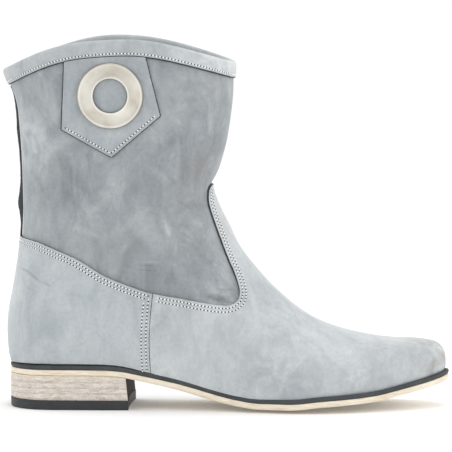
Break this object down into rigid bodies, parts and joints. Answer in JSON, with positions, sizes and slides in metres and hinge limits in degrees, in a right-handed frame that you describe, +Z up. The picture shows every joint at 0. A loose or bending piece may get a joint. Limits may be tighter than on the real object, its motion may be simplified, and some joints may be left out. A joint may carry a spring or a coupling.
{
  "type": "heeled ankle boot",
  "caption": "Right heeled ankle boot: hollow upper, tongued vamp, heel counter, collar band, ringed side tab, raised back seam, thin sole and stacked heel.",
  "frame": {"origin": "middle of the heel's tread, on the floor", "axes": "+X to the toe, +Z up, -Y the outer side of the foot"},
  "size_m": [0.2741, 0.0906, 0.2276],
  "materials": {
    "outsole": "natural sole leather",
    "midsole": "matte charcoal",
    "heel_stack": "stacked leather, greyed",
    "heel_top_piece": "matte black",
    "insole": "natural lining leather",
    "upper": "grey nubuck, mottled",
    "vamp": "light grey nubuck",
    "counter": "light grey nubuck",
    "collar_binding": "grey nubuck, folded",
    "side_tab": "grey nubuck",
    "ring": "satin, warm",
    "back_seam": "dark raw edge"
  },
  "bodies": {
    "root": {"outsole": "outsole", "midsole": "midsole", "heel_stack": "heel_stack", "heel_top_piece": "heel_top_piece", "insole": "insole", "upper": "upper", "vamp": "vamp", "counter": "counter", "collar_binding": "collar_binding", "side_tab": "side_tab", "ring": "ring", "back_seam": "back_seam"}
  },
  "joints": []
}
